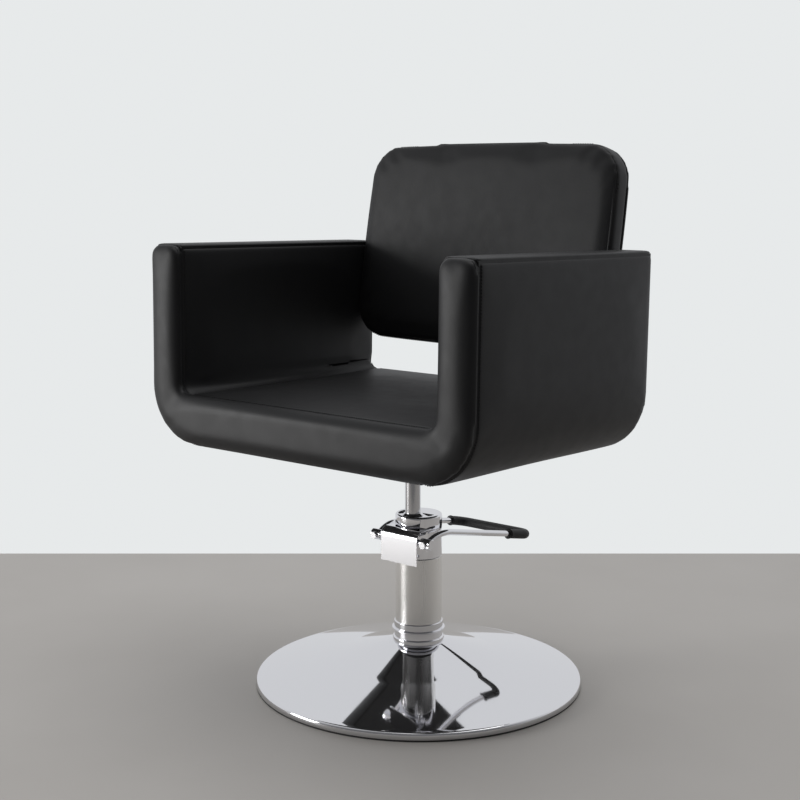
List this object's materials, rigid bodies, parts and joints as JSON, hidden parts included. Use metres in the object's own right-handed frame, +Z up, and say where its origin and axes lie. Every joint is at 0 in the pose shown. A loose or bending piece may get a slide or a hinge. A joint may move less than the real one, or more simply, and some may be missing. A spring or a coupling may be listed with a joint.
{
  "type": "styling chair",
  "caption": "Hydraulic salon styling chair: upholstered U-shaped tub with a separate reclined back, on a foot-pumped swivelling column and a round chromed base.",
  "frame": {"origin": "on the floor, at the centre of the round base, on the swivel axis of the column", "axes": "+Z up along the swivel axis; the sitter faces -Y, so the back is towards +Y and +X is on the sitter's left"},
  "size_m": [0.64, 0.5554, 0.8727],
  "materials": {
    "leather": "satin",
    "chrome": "polished",
    "satin_steel": "satin",
    "ram_steel": "polished",
    "machined_steel": "satin",
    "dark_steel": "matte",
    "bronze": "satin",
    "rubber": "matte",
    "plywood": "matte",
    "foam": "matte",
    "cloth": "matte",
    "nylon": "matte"
  },
  "bodies": {
    "base": {"floor_plate": "dark_steel", "floor_ring": "rubber", "base_dome": "chrome", "lower_collar": "chrome", "collar_ring": "chrome", "column_tube": "satin_steel", "column_flange": "dark_steel", "flange_screws": "dark_steel", "lower_race": "machined_steel", "bearing_balls": "machined_steel", "ball_cage": "bronze", "lower_bush": "bronze", "upper_bush": "bronze"},
    "pump_head": {"upper_race": "machined_steel", "oil_tank": "machined_steel", "ram_cylinder": "machined_steel", "plunger_barrel": "machined_steel", "head_block": "machined_steel", "ram_seal": "rubber", "gland_nut": "machined_steel", "wiper_ring": "chrome", "head_cover": "chrome", "pedal_bracket": "chrome", "bracket_cover": "chrome", "plunger_spring": "machined_steel"},
    "plunger": {"plunger": "machined_steel"},
    "pedal": {"rocker_shaft": "chrome", "rocker_fork": "machined_steel", "pedal_loop": "chrome", "pedal_sleeve": "rubber", "hub_screws": "chrome"},
    "seat": {"ram": "ram_steel", "piston": "machined_steel", "piston_seal": "rubber", "seat_plate": "dark_steel", "seat_bolts": "machined_steel", "seat_tee_nuts": "machined_steel", "plywood_shell": "plywood", "seat_board": "plywood", "dust_cover": "cloth", "seat_foam": "foam", "seat_cover": "leather", "arm_foam_left": "foam", "arm_foam_right": "foam", "inner_cover_left": "leather", "inner_cover_right": "leather", "arm_top_left": "leather", "arm_top_right": "leather", "side_panel_left": "leather", "side_panel_right": "leather", "front_band": "leather", "rear_band": "leather", "back_board": "plywood", "back_foam": "foam", "back_cover": "leather", "back_rear_pad": "leather", "back_bolts": "machined_steel", "back_spacers": "nylon"}
  },
  "joints": [
    {"name": "swivel", "type": "hinge", "parent": "base", "child": "pump_head", "pos_m": [0, 0, 0], "axis": [0, 0, 1], "continuous": true},
    {"name": "lift", "type": "slide", "parent": "pump_head", "child": "seat", "axis": [0, 0, 1], "range_m": [-0.05, 0.1]},
    {"name": "pedal_press", "type": "hinge", "parent": "pump_head", "child": "pedal", "pos_m": [0, -0.042, 0.247], "axis": [-1, 0, 0], "range_deg": [0, 15], "stiffness_Nm_per_rad": 6, "springref_deg": -20.05},
    {"name": "plunger_stroke", "type": "slide", "parent": "pump_head", "child": "plunger", "axis": [0, 0, -1], "range_m": [0, 0.015], "deforming": ["plunger_spring"]}
  ],
  "couplings": [
    {"joint": "plunger_stroke", "follows": "pedal_press", "m_per_rad": 0.056}
  ]
}
